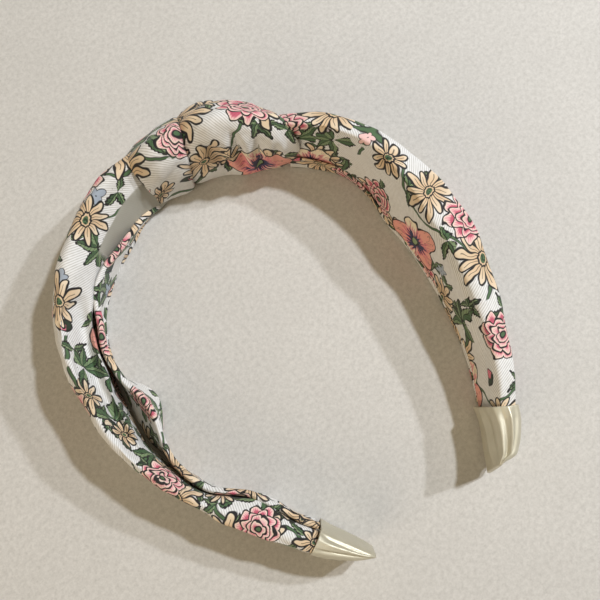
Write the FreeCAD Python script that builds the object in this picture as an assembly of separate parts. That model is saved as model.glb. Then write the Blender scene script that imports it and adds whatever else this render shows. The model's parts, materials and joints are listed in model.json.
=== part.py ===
import FreeCAD, Part
import math
import os
from FreeCAD import Vector

# A knotted headband, in millimetres: a springy plastic hoop in a loose sewn cover, tied in a knot near the
# top of the head, with a satin cap on each tip.
# It lies on its side edge: the hoop's plane is level, +Z is up, and +Y points from the open end to the crown.
# A place on it is given by its distance along the hoop's inner face from the crown's middle line, its offset
# outwards from that face, and its height above the table.

# The hoop: one round crown arc, then one flatter arc down each side.
HOOP_RADIUS = 60.5
HOOP_THICKNESS = 1.8
HOOP_HEIGHT_CROWN = 14.0
HOOP_HEIGHT_TIP = 10.0
HOOP_TIP_SHIFT = 1.2
HOOP_LIFT = 4.4
HOOP_TIP_LIFT = 3.6
HOOP_TAPER_START = 60.0
LEFT_CROWN_SWEEP = 114.0
RIGHT_CROWN_SWEEP = 90.0
LEFT_ARM_RADIUS = 1500.0
RIGHT_ARM_RADIUS = 129.0

# The flex lines either side of the knot, and how far each arm swings there.
LEFT_FLEX = 9.0
RIGHT_FLEX = 55.5
OPEN_ANGLE = 14.0
SQUEEZE_ANGLE = 5.0
FLEX_CLEARANCE = 0.3

# The sewn cover: an outer panel, and a lining strip that closes its inner side.
CLOTH = 0.8
CLOTH_GAP = 0.3
LINING_INSET = 0.4
COVER_CORNER = 5.0
SOLE_TRIM = 0.2
STATION_STEP = 9.0
# The cover's section leans: its toe is drawn in under its widest place, and it narrows to a ridge on top.
# TOE is a share of its width. WAIST and SHOULDER are shares of its height.
TOE = 0.16
WAIST = 0.44
SHOULDER = 0.86
# Rows: distance along the hoop, offsets of the inner side, the ridge, the shoulder and the outer side,
# height of the ridge, height of the inner edge, where the lining ends.
LEFT_TUBE = [(2.0, -3.3, 5.0, 9.6, 15.0, 28.5, 19.5), (24.0, -3.0, 5.0, 9.4, 14.6, 28.5, 19.5),
             (44.0, -2.4, 4.6, 9.0, 13.5, 28.4, 19.5), (60.0, -2.2, 4.5, 8.4, 12.2, 27.8, 19.2),
             (84.0, -2.2, 3.6, 6.4, 9.0, 26.5, 19.0), (104.0, -1.8, 4.4, 6.9, 8.8, 24.6, 18.6),
             (124.0, -1.6, 5.2, 7.8, 9.2, 22.6, 17.8), (138.0, -1.8, 5.0, 8.8, 10.2, 21.4, 17.2),
             (155.0, -2.0, 3.4, 7.4, 8.7, 20.6, 17.0), (163.0, -2.0, 2.8, 6.4, 7.6, 20.2, 16.8)]
RIGHT_TUBE = [(48.0, -3.0, 1.0, 4.8, 10.4, 28.4, 22.0), (60.0, -2.6, 2.2, 7.4, 13.0, 30.6, 24.0),
              (80.0, -1.8, 3.4, 9.2, 15.4, 30.8, 24.0), (98.0, -3.8, 3.6, 10.4, 16.4, 29.6, 23.0),
              (115.0, -3.8, 3.0, 11.2, 17.0, 28.0, 21.8), (130.0, -3.4, 2.4, 9.8, 14.6, 26.4, 20.6),
              (150.0, -2.4, 2.4, 7.8, 11.4, 24.2, 19.0), (169.0, -1.8, 2.4, 6.4, 8.8, 21.2, 17.0)]

# The left lining has come away from the hoop and stands open as a pocket.
POCKET_CENTRE = 93.0
POCKET_LENGTH = 46.0
POCKET_DEPTH = 8.5

# The cover under the knot, gathered close round the hoop.
CROWN_INNER = -3.0
CROWN_OUTER = 5.6
CROWN_BASE = 3.2
CROWN_HEIGHT = 18.0
CROWN_CORNER = 2.5

# The knot: a narrow lobe, and a broad wrap beside it. Each is a ring of bunched cloth round the cover.
LOBE_START = -6.0
LOBE_LENGTH = 20.0
WRAP_LENGTH = 36.5
KNOT_GAP = 0.4
KNOT_CORNER = 5.0
KNOT_TOE = 3.2
KNOT_CREST = 1.2
KNOT_LEAN = 0.52
# Rows: share of the length, offset of the inner side, offset of the outer side, height.
LOBE_ROWS = [(0.0, -3.4, 14.2, 29.0), (0.25, -4.8, 15.0, 33.4), (0.5, -5.6, 15.8, 35.6),
             (0.8, -6.0, 17.0, 34.6), (1.0, -4.8, 15.4, 31.4)]
WRAP_ROWS = [(0.0, -4.8, 15.6, 31.4), (0.2, -5.8, 18.2, 35.8), (0.4, -6.4, 18.0, 37.4),
             (0.62, -7.0, 16.0, 36.2), (0.82, -5.8, 13.6, 33.2), (1.0, -4.2, 11.2, 30.0)]

# The satin caps: hollow, flat at the mouth, pinched to an upright crimp at the tip.
CAP_LENGTH = 20.5
CAP_MOUTH_THICKNESS = 9.6
CAP_MOUTH_HEIGHT = 20.5
CAP_WALL = 0.6
CAP_CORNER = 2.6
CAP_OVERLAP = 4.0
CRIMP_THICKNESS = 1.7
CRIMP_HEIGHT = 14.5
CRIMP_BASE = 2.2
LEFT_CAP_MOUTH = 168.5
LEFT_CAP_OFFSET = 2.0
LEFT_CRIMP_OFFSET = 0.6
RIGHT_CAP_MOUTH = 175.5
RIGHT_CAP_OFFSET = 3.4
RIGHT_CRIMP_OFFSET = 1.4
HOOP_IN_CAP = 8.0
# Where the cover's ridge and shoulder lie in a cap, as shares of its half thickness from the middle.
SEAT_RIDGE = 0.12
SEAT_SHOULDER = 0.6

LARGE = 400.0


class Side:
    """One side of the hoop, left (-1) or right (+1) of the crown's middle line."""

    def __init__(self, sign, sweep, arm_radius, flex, tube, mouth, cap_offset, crimp_offset):
        self.sign = sign
        self.sweep = math.radians(sweep)
        self.arm_radius = arm_radius
        self.flex = flex
        self.mouth = mouth
        self.cap_offset = cap_offset
        self.crimp_offset = crimp_offset
        seat = CAP_MOUTH_THICKNESS / 2 - CAP_WALL - CLOTH_GAP
        seat_height = CAP_MOUTH_HEIGHT - 2 * (CAP_WALL + CLOTH_GAP)
        end = mouth + CAP_OVERLAP
        shift = (crimp_offset - cap_offset) * CAP_OVERLAP / CAP_LENGTH
        squeeze = (CAP_MOUTH_THICKNESS - CRIMP_THICKNESS) / 2 * CAP_OVERLAP / CAP_LENGTH
        lower = (CAP_MOUTH_HEIGHT - CRIMP_HEIGHT) * CAP_OVERLAP / CAP_LENGTH
        mouth_row = seat_row(mouth, cap_offset, seat, seat_height)
        end_row = seat_row(end, cap_offset + shift, seat - squeeze, seat_height - lower)
        self.tube = tube + [mouth_row, end_row]
        self.end = end

    def station(self, distance):
        """The point on the hoop's inner face and the outward normal there."""
        crown_length = HOOP_RADIUS * self.sweep
        heading = distance / HOOP_RADIUS
        centre = Vector(0, 0, 0)
        radius = HOOP_RADIUS
        if distance > crown_length:
            heading = self.sweep + (distance - crown_length) / self.arm_radius
            radius = self.arm_radius
            reach = HOOP_RADIUS - self.arm_radius
            centre = Vector(self.sign * reach * math.sin(self.sweep), reach * math.cos(self.sweep), 0)
        normal = Vector(self.sign * math.sin(heading), math.cos(heading), 0)
        return centre + normal * radius, normal

    def place(self, distance, offset, height):
        point, normal = self.station(distance)
        return point + normal * offset + Vector(0, 0, height)

    def size(self, distance):
        """The cover's offsets and heights at a distance, as a row's."""
        rows = self.tube
        last = rows[0]
        for row in rows[1:]:
            if distance <= row[0]:
                part = (distance - last[0]) / (row[0] - last[0])
                return [a + (b - a) * part for a, b in zip(last[1:], row[1:])]
            last = row
        return list(last[1:])

    def stations(self, end):
        start = self.tube[0][0]
        count = round((end - start) / STATION_STEP)
        return [start + (end - start) * step / count for step in range(count + 1)]


def seat_row(distance, centre, half, height):
    """The cover's row where it sits in a cap of a given half thickness."""
    return (distance, centre - half, centre + half * SEAT_RIDGE, centre + half * SEAT_SHOULDER,
            centre + half, height, height * SHOULDER)


def wire(side, distance, corners):
    """A closed wire across the band. Each corner is (offset, height, radius), and radius 0 is sharp."""
    edges = []
    count = len(corners)
    ends = []
    for index in range(count):
        before, here, after = corners[index - 1], corners[index], corners[(index + 1) % count]
        ends.append(corner_points(before, here, after))
    for index in range(count):
        entry, middle, leave = ends[index]
        if corners[index][2] > 0:
            arc = Part.Arc(*[side.place(distance, *p) for p in (entry, middle, leave)])
            edges.append(arc.toShape())
        following = ends[(index + 1) % count][0]
        edges.append(Part.makeLine(side.place(distance, *leave), side.place(distance, *following)))
    return Part.Wire(edges)


def corner_points(before, here, after):
    """Where the round of one corner starts, its middle, and where it ends."""
    radius = here[2]
    back = unit(here, before)
    on = unit(here, after)
    half = math.acos(back[0] * on[0] + back[1] * on[1]) / 2
    reach = radius / math.tan(half)
    inset = (radius / math.sin(half) - radius) / (2 * math.cos(half))
    entry = (here[0] + back[0] * reach, here[1] + back[1] * reach)
    leave = (here[0] + on[0] * reach, here[1] + on[1] * reach)
    middle = (here[0] + (back[0] + on[0]) * inset, here[1] + (back[1] + on[1]) * inset)
    return entry, middle, leave


def unit(start, end):
    run = (end[0] - start[0], end[1] - start[1])
    length = math.hypot(*run)
    return run[0] / length, run[1] / length


def block(inner, outer, base, top, radius):
    return [(inner, base, radius), (outer, base, radius), (outer, top, radius), (inner, top, radius)]


def inset_corner(before, here, after, wall):
    """A corner of an anticlockwise section, moved in by a wall from both of its sides."""
    back = unit(before, here)
    on = unit(here, after)
    turn = 1 + back[0] * on[0] + back[1] * on[1]
    across = (-(back[1] + on[1]) * wall / turn, (back[0] + on[0]) * wall / turn)
    return here[0] + across[0], here[1] + across[1], max(here[2] - wall, 0)


def panel(corners):
    """A C section of cloth behind a row of corners, open towards the hoop's inner side.

    Its first and last corners are its two edges, and both stay at one offset.
    """
    first, last = corners[0], corners[-1]
    inside = [inset_corner(*corners[i - 1:i + 2], CLOTH) for i in range(1, len(corners) - 1)]
    slope = unit(corners[-2], last)
    drop = CLOTH / -slope[0]
    back = [(last[0], last[1] - drop, 0)] + inside[::-1] + [(first[0], first[1] + CLOTH, 0)]
    return corners + back


def loft(wires):
    return Part.makeLoft(wires, True, False)


def strip(side, rows):
    """A flat strip through rows of four corners, each corner carried along its own smooth line."""
    lines = []
    for corners in zip(*[[side.place(distance, *corner[:2]) for corner in row] for distance, row in rows]):
        line = Part.BSplineCurve()
        line.interpolate(list(corners))
        lines.append(line.toShape())
    faces = [Part.makeRuledSurface(lines[index - 1], lines[index]) for index in range(len(lines))]
    for distance, row in (rows[0], rows[-1]):
        faces.append(Part.Face(wire(side, distance, row)))
    shell = Part.Shell(faces)
    shell.sewShape()
    solid = Part.Solid(shell)
    if solid.Volume < 0:
        solid.reverse()
    return solid


def above_table(shape):
    """Trims a piece to the table, which leaves it a flat face to rest on."""
    below = Part.makeBox(2 * LARGE, 2 * LARGE, LARGE, Vector(-LARGE, -LARGE, -LARGE))
    return shape.cut(below)


def flex_line(side):
    """The upright axis that an arm swings about: the middle of the hoop's thickness."""
    point, normal = side.station(side.flex)
    return point + normal * HOOP_THICKNESS / 2


def arm_side(side, shape):
    """Cuts an arm's piece back from its flex line, with room to open and to squeeze."""
    point, normal = side.station(side.flex)
    pivot = flex_line(side)
    tangent = Vector(normal.y, -normal.x, 0) * side.sign
    lead = LARGE / 4
    outer = FLEX_CLEARANCE + lead * math.tan(math.radians(OPEN_ANGLE))
    inner = FLEX_CLEARANCE + lead * math.tan(math.radians(SQUEEZE_ANGLE))
    outline = [(FLEX_CLEARANCE, 0), (outer, lead), (-lead, lead), (-lead, -lead), (inner, -lead)]
    points = [pivot + tangent * along + normal * out - Vector(0, 0, LARGE) for along, out in outline]
    face = Part.Face(Part.makePolygon(points + points[:1]))
    return shape.cut(face.extrude(Vector(0, 0, 2 * LARGE)))


def ease(part):
    return part * part * (3 - 2 * part)


def pocket(distance):
    """How far the left lining stands away from its seam."""
    from_middle = abs(distance - POCKET_CENTRE) / (POCKET_LENGTH / 2)
    return POCKET_DEPTH * ease(1 - from_middle) if from_middle < 1 else 0.0


def cover_base(side, distance):
    """The cover stands on the table, and is lifted by the cap's wall where it enters the cap."""
    lifted = CAP_WALL + CLOTH_GAP
    if distance <= side.tube[-3][0]:
        return -SOLE_TRIM
    rise = (distance - side.tube[-3][0]) / (side.mouth - side.tube[-3][0])
    if distance <= side.mouth:
        return -SOLE_TRIM + (lifted + SOLE_TRIM) * rise
    return lifted + CRIMP_BASE * (distance - side.mouth) / CAP_LENGTH


def cover_arm(side):
    wires = []
    for distance in side.stations(side.mouth) + [side.end]:
        inner, ridge, shoulder, outer, height, edge = side.size(distance)
        base = cover_base(side, distance)
        mouth = inner + CLOTH + CLOTH_GAP
        radius = min(COVER_CORNER, (outer - mouth) / 3)
        corners = [(mouth, base, 0), (outer - TOE * (outer - inner), base, radius),
                   (outer, base + WAIST * height, radius), (shoulder, base + SHOULDER * height, radius),
                   (ridge, base + height, radius / 2), (mouth, base + edge, 0)]
        wires.append(wire(side, distance, panel(corners)))
    return above_table(arm_side(side, loft(wires)))


def lining_arm(side, bulge):
    rows = []
    for distance in side.stations(side.mouth - CLOTH_GAP):
        row = side.size(distance)
        base = cover_base(side, distance) + SOLE_TRIM + LINING_INSET
        start = row[0] - bulge(distance)
        top = base + row[-1] - SOLE_TRIM - 2 * LINING_INSET
        rows.append((distance, block(start, start + CLOTH, base, top, 0)))
    return arm_side(side, strip(side, rows))


def hoop_section(distance, end):
    part = max(0.0, (distance - HOOP_TAPER_START) / (end - HOOP_TAPER_START))
    inner = HOOP_TIP_SHIFT * part
    base = HOOP_LIFT + (HOOP_TIP_LIFT - HOOP_LIFT) * part
    top = base + HOOP_HEIGHT_CROWN + (HOOP_HEIGHT_TIP - HOOP_HEIGHT_CROWN) * part
    return block(inner, inner + HOOP_THICKNESS, base, top, 0)


def hoop_arm(side):
    end = side.mouth + HOOP_IN_CAP
    return arm_side(side, strip(side, [(d, hoop_section(d, end)) for d in side.stations(end)]))


def cap_corners(side, part, wall):
    """The cap's section at a share of its length, inset by a wall."""
    thickness = CAP_MOUTH_THICKNESS + (CRIMP_THICKNESS - CAP_MOUTH_THICKNESS) * part - 2 * wall
    centre = side.cap_offset + (side.crimp_offset - side.cap_offset) * part
    base = CRIMP_BASE * part + wall
    top = base + CAP_MOUTH_HEIGHT + (CRIMP_HEIGHT - CAP_MOUTH_HEIGHT) * part - 2 * wall
    radius = min(CAP_CORNER - wall, thickness * 0.45)
    return block(centre - thickness / 2, centre + thickness / 2, base, top, radius)


def cap(side):
    def shell(wall, parts):
        rows = [(side.mouth + CAP_LENGTH * part, cap_corners(side, part, wall)) for part in parts]
        return loft([wire(side, distance, corners) for distance, corners in rows])

    hollow_end = 1 - 4 * CAP_WALL / CAP_LENGTH
    hollow_share = (CAP_MOUTH_THICKNESS - 3 * CAP_WALL) / (CAP_MOUTH_THICKNESS - CRIMP_THICKNESS)
    reach = min(hollow_end, hollow_share)
    outside = shell(0, [0, 0.33, 0.67, 1])
    inside = shell(CAP_WALL, [-0.1, reach / 3, reach * 2 / 3, reach])
    return above_table(outside.cut(inside))


def crown_turn(corners, start, end):
    """A section carried round the crown arc, from one distance to another. Left is negative."""
    middle = SIDES["right"]
    face = Part.Face(wire(middle, 0, corners))
    first = math.degrees(start / HOOP_RADIUS)
    face.rotate(Vector(0, 0, 0), Vector(0, 0, 1), -first)
    return face.revolve(Vector(0, 0, 0), Vector(0, 0, 1), -math.degrees((end - start) / HOOP_RADIUS))


def knot_ring(start, length, rows):
    """A barrel of bunched cloth round the cover, leaning in towards its crest."""
    wires = []
    for share, inner, outer, height in rows:
        waist, shoulder = WAIST * height, SHOULDER * height
        upper = outer - KNOT_LEAN * (shoulder - waist)
        corners = [(inner, -SOLE_TRIM, KNOT_CORNER / 2), (outer - KNOT_TOE, -SOLE_TRIM, KNOT_CORNER),
                   (outer, waist, KNOT_CORNER), (upper, shoulder, KNOT_CORNER),
                   (KNOT_CREST, height, KNOT_CORNER / 2), (inner, SHOULDER * shoulder, KNOT_CORNER)]
        distance = start + length * share
        side = SIDES["right" if distance >= 0 else "left"]
        wires.append(wire(side, abs(distance), corners))
    bottom = CROWN_BASE - CLOTH_GAP
    top = CROWN_BASE + CROWN_HEIGHT + CLOTH_GAP
    near = CROWN_INNER - CLOTH_GAP
    far = CROWN_OUTER + CLOTH_GAP
    hole = [(near, bottom, 0), (far, bottom, CROWN_CORNER), (far, top, CROWN_CORNER), (near, top, 0)]
    passage = crown_turn(hole, start - length, start + 2 * length)
    return above_table(loft(wires)).cut(passage)


SIDES = {
    "left": Side(-1, LEFT_CROWN_SWEEP, LEFT_ARM_RADIUS, LEFT_FLEX, LEFT_TUBE, LEFT_CAP_MOUTH,
                 LEFT_CAP_OFFSET, LEFT_CRIMP_OFFSET),
    "right": Side(1, RIGHT_CROWN_SWEEP, RIGHT_ARM_RADIUS, RIGHT_FLEX, RIGHT_TUBE, RIGHT_CAP_MOUTH,
                  RIGHT_CAP_OFFSET, RIGHT_CRIMP_OFFSET),
}


def crown_pieces():
    start = -LEFT_FLEX + FLEX_CLEARANCE
    end = RIGHT_FLEX - FLEX_CLEARANCE
    hoop = block(0, HOOP_THICKNESS, HOOP_LIFT, HOOP_LIFT + HOOP_HEIGHT_CROWN, 0)
    top = CROWN_BASE + CROWN_HEIGHT
    mouth = CROWN_INNER + CLOTH + CLOTH_GAP
    cover = panel([(mouth, CROWN_BASE, 0), (CROWN_OUTER, CROWN_BASE, CROWN_CORNER),
                   (CROWN_OUTER, top, CROWN_CORNER), (mouth, top, 0)])
    lining = block(CROWN_INNER, CROWN_INNER + CLOTH, CROWN_BASE + LINING_INSET, top - LINING_INSET, 0)
    wrap_start = LOBE_START + LOBE_LENGTH + KNOT_GAP
    return {
        "hoop_crown": crown_turn(hoop, start, end),
        "cover_crown": crown_turn(cover, start, end),
        "lining_crown": crown_turn(lining, start, end),
        "knot_lobe": knot_ring(LOBE_START, LOBE_LENGTH, LOBE_ROWS),
        "knot_wrap": knot_ring(wrap_start, WRAP_LENGTH, WRAP_ROWS),
    }


def arm_pieces(name):
    side = SIDES[name]
    bulge = pocket if name == "left" else (lambda distance: 0.0)
    return {
        "hoop_" + name + "_arm": hoop_arm(side),
        "cover_" + name: cover_arm(side),
        "lining_" + name: lining_arm(side, bulge),
        "cap_" + name: cap(side),
    }


pieces = crown_pieces()
for name in SIDES:
    pieces.update(arm_pieces(name))

box = FreeCAD.BoundBox()
for shape in pieces.values():
    box.add(shape.optimalBoundingBox(True, False))
home = Vector(-box.Center.x, -box.Center.y, -box.ZMin)

os.makedirs("parts", exist_ok=True)
for node, shape in pieces.items():
    placed = shape.translated(home)
    placed.exportStep("parts/" + node + ".step")
    print(node, len(placed.Solids), placed.isValid(), round(placed.Volume, 1))

print("box", [round(v, 3) for v in (box.XLength, box.YLength, box.ZLength)])
for name, side in SIDES.items():
    line = flex_line(side) + home
    print("flex", name, round(line.x, 3), round(line.y, 3))
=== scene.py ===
import json
import math

import bmesh
import bpy
import numpy as np
from mathutils import Matrix, Vector


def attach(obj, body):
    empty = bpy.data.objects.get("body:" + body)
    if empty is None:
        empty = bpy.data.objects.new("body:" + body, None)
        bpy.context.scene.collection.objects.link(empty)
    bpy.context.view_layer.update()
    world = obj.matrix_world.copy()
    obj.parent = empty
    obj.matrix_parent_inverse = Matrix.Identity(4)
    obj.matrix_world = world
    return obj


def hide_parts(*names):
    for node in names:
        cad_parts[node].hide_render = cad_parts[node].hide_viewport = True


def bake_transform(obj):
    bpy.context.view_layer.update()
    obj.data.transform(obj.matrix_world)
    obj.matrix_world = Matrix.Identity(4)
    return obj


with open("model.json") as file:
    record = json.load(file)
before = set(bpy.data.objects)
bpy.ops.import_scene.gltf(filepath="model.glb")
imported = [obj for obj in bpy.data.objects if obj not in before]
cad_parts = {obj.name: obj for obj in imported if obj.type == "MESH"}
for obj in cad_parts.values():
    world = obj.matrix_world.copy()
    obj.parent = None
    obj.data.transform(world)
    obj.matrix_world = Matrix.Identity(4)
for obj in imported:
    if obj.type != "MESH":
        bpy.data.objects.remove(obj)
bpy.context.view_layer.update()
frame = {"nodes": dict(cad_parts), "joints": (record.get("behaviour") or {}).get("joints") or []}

# Lengths are in millimetres until a mesh or a lamp is made. A place on the band is a distance
# along it from the middle of the crown (left is negative), an offset outwards from the hoop's
# inner face, and a height.
MM = 0.001
SOLE = 0.3  # no cloth comes nearer to the floor
ROW_STEP = 0.8  # along the band, between rows of points
GATHER = 1.1  # cloth used up along one millimetre of band

# Each piece is cut from a part of the printed cloth of its own, this far along it.
CUT_FROM = {
    "left_sleeve": 0,
    "left_lining": 260,
    "right_sleeve": 500,
    "right_lining": 700,
    "knot_left_loop": 900,
    "knot_wide_loop": 1100,
}

# ---------------- the band's line

HOOP_RADIUS = 60.5
HOOP_HALF = 0.9
LEFT_FLEX = 9.0  # the left hinge's distance from the middle of the crown
CROWN_SWEEP = {-1: math.radians(114), 1: math.radians(90)}
ARM_RADIUS = {-1: 1500.0, 1: 129.0}


def joint_place(name):
    return next(np.array(j["pos_m"]) / MM for j in frame["joints"] if j["name"] == name)


flex_angle = LEFT_FLEX / HOOP_RADIUS
CROWN_CENTRE = joint_place("left_flex")[:2] - (HOOP_RADIUS + HOOP_HALF) * np.array(
    [-math.sin(flex_angle), math.cos(flex_angle)]
)


def band(distance, offset):
    """x and y at distances along the band and offsets outwards from it."""
    distance, offset = np.broadcast_arrays(np.asarray(distance, float), np.asarray(offset, float))
    side = np.where(distance < 0, -1.0, 1.0)
    sweep = np.where(side < 0, CROWN_SWEEP[-1], CROWN_SWEEP[1])
    radius = np.where(side < 0, ARM_RADIUS[-1], ARM_RADIUS[1])
    run = np.abs(distance)
    turn = np.minimum(run / HOOP_RADIUS, sweep)
    total = turn + np.maximum(run - sweep * HOOP_RADIUS, 0) / radius
    out = HOOP_RADIUS * np.array([np.sin(turn), np.cos(turn)])
    out = out + radius * np.array([np.sin(total) - np.sin(turn), np.cos(total) - np.cos(turn)])
    out = out + offset * np.array([np.sin(total), np.cos(total)])
    return CROWN_CENTRE[0] + side * out[0], CROWN_CENTRE[1] + out[1]


def band_point(distance, offset=4.0, height=16.0):
    x, y = band(distance, offset)
    return Vector((float(x), float(y), height)) * MM


# ---------------- cloth surfaces


def along(stations, rows, places):
    """Rows of numbers known at stations, carried smoothly to every place between them."""
    stations, rows = np.asarray(stations, float), np.asarray(rows, float)
    order = np.argsort(stations)
    stations, rows = stations[order], rows[order]
    slopes = np.gradient(rows, stations, axis=0)
    i = np.clip(np.searchsorted(stations, places) - 1, 0, len(stations) - 2)
    gap = stations[i + 1] - stations[i]
    t = np.clip((places - stations[i]) / gap, 0, 1)
    shape = (-1,) + (1,) * (rows.ndim - 1)
    t, gap = t.reshape(shape), gap.reshape(shape)
    keep = 2 * t**3 - 3 * t**2 + 1
    return (
        keep * rows[i]
        + (1 - keep) * rows[i + 1]
        + (t**3 - 2 * t**2 + t) * gap * slopes[i]
        + (t**3 - t**2) * gap * slopes[i + 1]
    )


def read_off(table, places):
    """A table's rows at places between them. The first number of a row is its own place."""
    return along([row[0] for row in table], [row[1:] for row in table], places)


def rounded(loops, steps):
    """Closed loops of corners, made smooth loops through those corners."""
    t = (np.arange(steps) / steps).reshape(1, 1, steps, 1)
    a, b, c, d = (np.roll(loops, shift, axis=1)[:, :, None, :] for shift in (1, 0, -1, -2))
    smooth = b + 0.5 * t * (c - a + t * (2 * a - 5 * b + 4 * c - d + t * (3 * (b - c) + d - a)))
    return smooth.reshape(len(loops), -1, 2)


def girth(loops, middle):
    """The length of cloth from one column of the loops to each other, and on round to the first."""
    step = np.linalg.norm(np.roll(loops, -1, axis=1) - loops, axis=2)
    run = np.concatenate([np.zeros((len(loops), 1)), np.cumsum(step, axis=1)], axis=1)
    return run - run[:, middle : middle + 1]


def laid_out(distance, loops):
    """Loops of offsets and heights, set out along the band as points in space."""
    x, y = band(distance[:, None] if np.ndim(distance) == 1 else distance, loops[..., 0])
    return np.stack([x, y, loops[..., 1]], axis=2)


def outward(grid, ring=False):
    """The directions that point out of a tube of cloth."""
    lengthways = np.gradient(grid, axis=0)
    if ring:
        lengthways = np.roll(grid, -1, 0) - np.roll(grid, 1, 0)
    normal = np.cross(lengthways, np.roll(grid, -1, 1) - np.roll(grid, 1, 1))
    normal /= np.maximum(np.linalg.norm(normal, axis=2, keepdims=True), 1e-9)
    away = grid - grid.mean(axis=1, keepdims=True)
    return normal * np.sign((away * normal).sum(axis=2).mean())


def fold(down, across, start, end, width, rise, fade=0.35):
    """A ridge or, below zero, a groove along one line of the cloth, dying away at its ends."""
    start, end = np.array(start, float), np.array(end, float)
    run = end - start
    share = ((down - start[0]) * run[0] + (across - start[1]) * run[1]) / (run @ run)
    held = np.clip(share, 0, 1)
    away = np.hypot(down - start[0] - held * run[0], across - start[1] - held * run[1])
    ends = np.clip(np.minimum(share + 0.1, 1.1 - share) / fade, 0, 1)
    return rise * np.exp(-((away / width) ** 2)) * ends * ends * (3 - 2 * ends)


def step_down(down, across, start, end, depth, soft, length):
    """A lapped edge along one line: the cloth beyond it lies lower and comes up again slowly."""
    start, end = np.array(start, float), np.array(end, float)
    run = end - start
    reach = np.linalg.norm(run)
    share = ((down - start[0]) * run[0] + (across - start[1]) * run[1]) / reach**2
    past = ((down - start[0]) * run[1] - (across - start[1]) * run[0]) / reach
    ends = np.clip(np.minimum(share + 0.15, 1.15 - share) / 0.4, 0, 1)
    drop = 1 / (1 + np.exp(-np.clip(past / soft, -30, 30)))
    return -depth * drop * np.exp(-np.maximum(past, 0) / length) * ends * ends * (3 - 2 * ends)


def ripple(down, across, seed, size, height):
    """Low, uneven waves, as in cloth that was steamed and handled."""
    dice = np.random.default_rng(seed)
    total = 0
    for _ in range(7):
        heading, wave = dice.uniform(0, math.tau), size * dice.uniform(0.7, 1.6)
        phase = math.tau * (down * math.cos(heading) + across * math.sin(heading)) / wave
        total = total + np.sin(phase + dice.uniform(0, math.tau))
    return height * total / 2.6  # about as high as the seven waves reach together


def creased(down, across, move, folds):
    """A move of the cloth with folds added to it."""
    for start, end, width, rise in folds:
        move = move + fold(down, across, start, end, width, rise)
    return move


def pushed(grid, move, fade, ring=False):
    """The cloth moved outwards, less so in the lowest stretch, and kept above the floor."""
    move = move * np.clip(grid[..., 2] / fade, 0, 1)
    grid = grid + outward(grid, ring) * move[..., None]
    grid[..., 2] = np.maximum(grid[..., 2], SOLE)
    return grid


def placed(name, data):
    """An object made of data, in the scene."""
    made = bpy.data.objects.new(name, data)
    bpy.context.scene.collection.objects.link(made)
    return made


def mesh_piece(name, points, faces, uv, bare_and_shade, material):
    """A closed shell, with its cloth map in metres and, at each point, how bare of print it is,
    with painted shade above 1.
    """
    mesh = bpy.data.meshes.new(name)
    mesh.from_pydata([tuple(p) for p in np.asarray(points) * MM], [], faces)
    cloth = mesh.uv_layers.new(name="cloth")
    cloth.data.foreach_set("uv", np.concatenate([np.asarray(u, float) for u in uv]).ravel() * MM)
    plain = mesh.attributes.new("bare_and_shade", "FLOAT", "POINT")
    plain.data.foreach_set("value", np.asarray(bare_and_shade, np.float32).ravel())
    shell = bmesh.new()
    shell.from_mesh(mesh)
    bmesh.ops.recalc_face_normals(shell, faces=shell.faces)
    shell.to_mesh(mesh)
    shell.free()
    mesh.polygons.foreach_set("use_smooth", np.ones(len(mesh.polygons), bool))
    mesh.materials.append(material)
    return placed(name, mesh)


def tube(name, grid, down, across, material, bare_and_shade=None, ring=False):
    """A tube of cloth from rows of points, closed at its ends, or a ring that closes on itself."""
    rows, columns = grid.shape[:2]
    down = np.broadcast_to(down[:, None] if np.ndim(down) == 1 else down, across.shape)
    bare_and_shade = np.zeros((rows, columns)) if bare_and_shade is None else bare_and_shade
    faces, uv = [], []
    spans = rows if ring else rows - 1
    for i in range(spans):
        k = (i + 1) % rows
        for j in range(columns):
            m = (j + 1) % columns
            faces.append((i * columns + j, k * columns + j, k * columns + m, i * columns + m))
            last = down[k] if k > i else down[i] + (down[i] - down[i - 1])
            uv.append(
                [
                    (down[i, j], across[i, j]),
                    (last[j], across[k, j]),
                    (last[j + 1], across[k, j + 1]),
                    (down[i, j + 1], across[i, j + 1]),
                ]
            )
    if not ring:
        for i, turn in ((0, 1), (rows - 1, -1)):
            faces.append(tuple(i * columns + j for j in range(columns))[::turn])
            uv.append([(down[i, j], across[i, j]) for j in range(columns)][::turn])
    return mesh_piece(name, grid.reshape(-1, 3), faces, uv, bare_and_shade, material)


# ---------------- finishes


def tint(red, green, blue):
    """A colour as dyers' charts give it, 0 to 255, as the light it sends back."""
    return tuple(
        c / 12.92 if c <= 0.04045 else ((c + 0.055) / 1.055) ** 2.4
        for c in (red / 255, green / 255, blue / 255)
    ) + (1.0,)


class Wire:
    """A number, colour or direction on its way through a finish."""

    def __init__(self, finish, socket):
        self.finish, self.socket = finish, socket

    def math(self, operation, *others):
        values = dict(enumerate((self, *others)))
        return self.finish.node("ShaderNodeMath", values, operation=operation)

    def __add__(self, other):
        return self.math("ADD", other)

    def __sub__(self, other):
        return self.math("SUBTRACT", other)

    def __mul__(self, other):
        return self.math("MULTIPLY", other)

    def __truediv__(self, other):
        return self.math("DIVIDE", other)

    def __pow__(self, other):
        return self.math("POWER", other)

    def __mod__(self, other):
        return self.math("FLOORED_MODULO", other)

    def __abs__(self):
        return self.math("ABSOLUTE")

    def __gt__(self, other):
        return self.math("GREATER_THAN", other)

    def __lt__(self, other):
        return self.math("LESS_THAN", other)

    def __rsub__(self, other):
        return self.finish.node("ShaderNodeMath", {0: other, 1: self}, operation="SUBTRACT")

    __radd__ = __add__

    def within(self, soft=0.16):
        """1 where the number is above nothing, 0 where it is below, with a soft edge."""
        values = {0: self, 1: 1 / soft, 2: 0.5}
        return self.finish.node(
            "ShaderNodeMath", values, operation="MULTIPLY_ADD", use_clamp=True
        )


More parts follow.
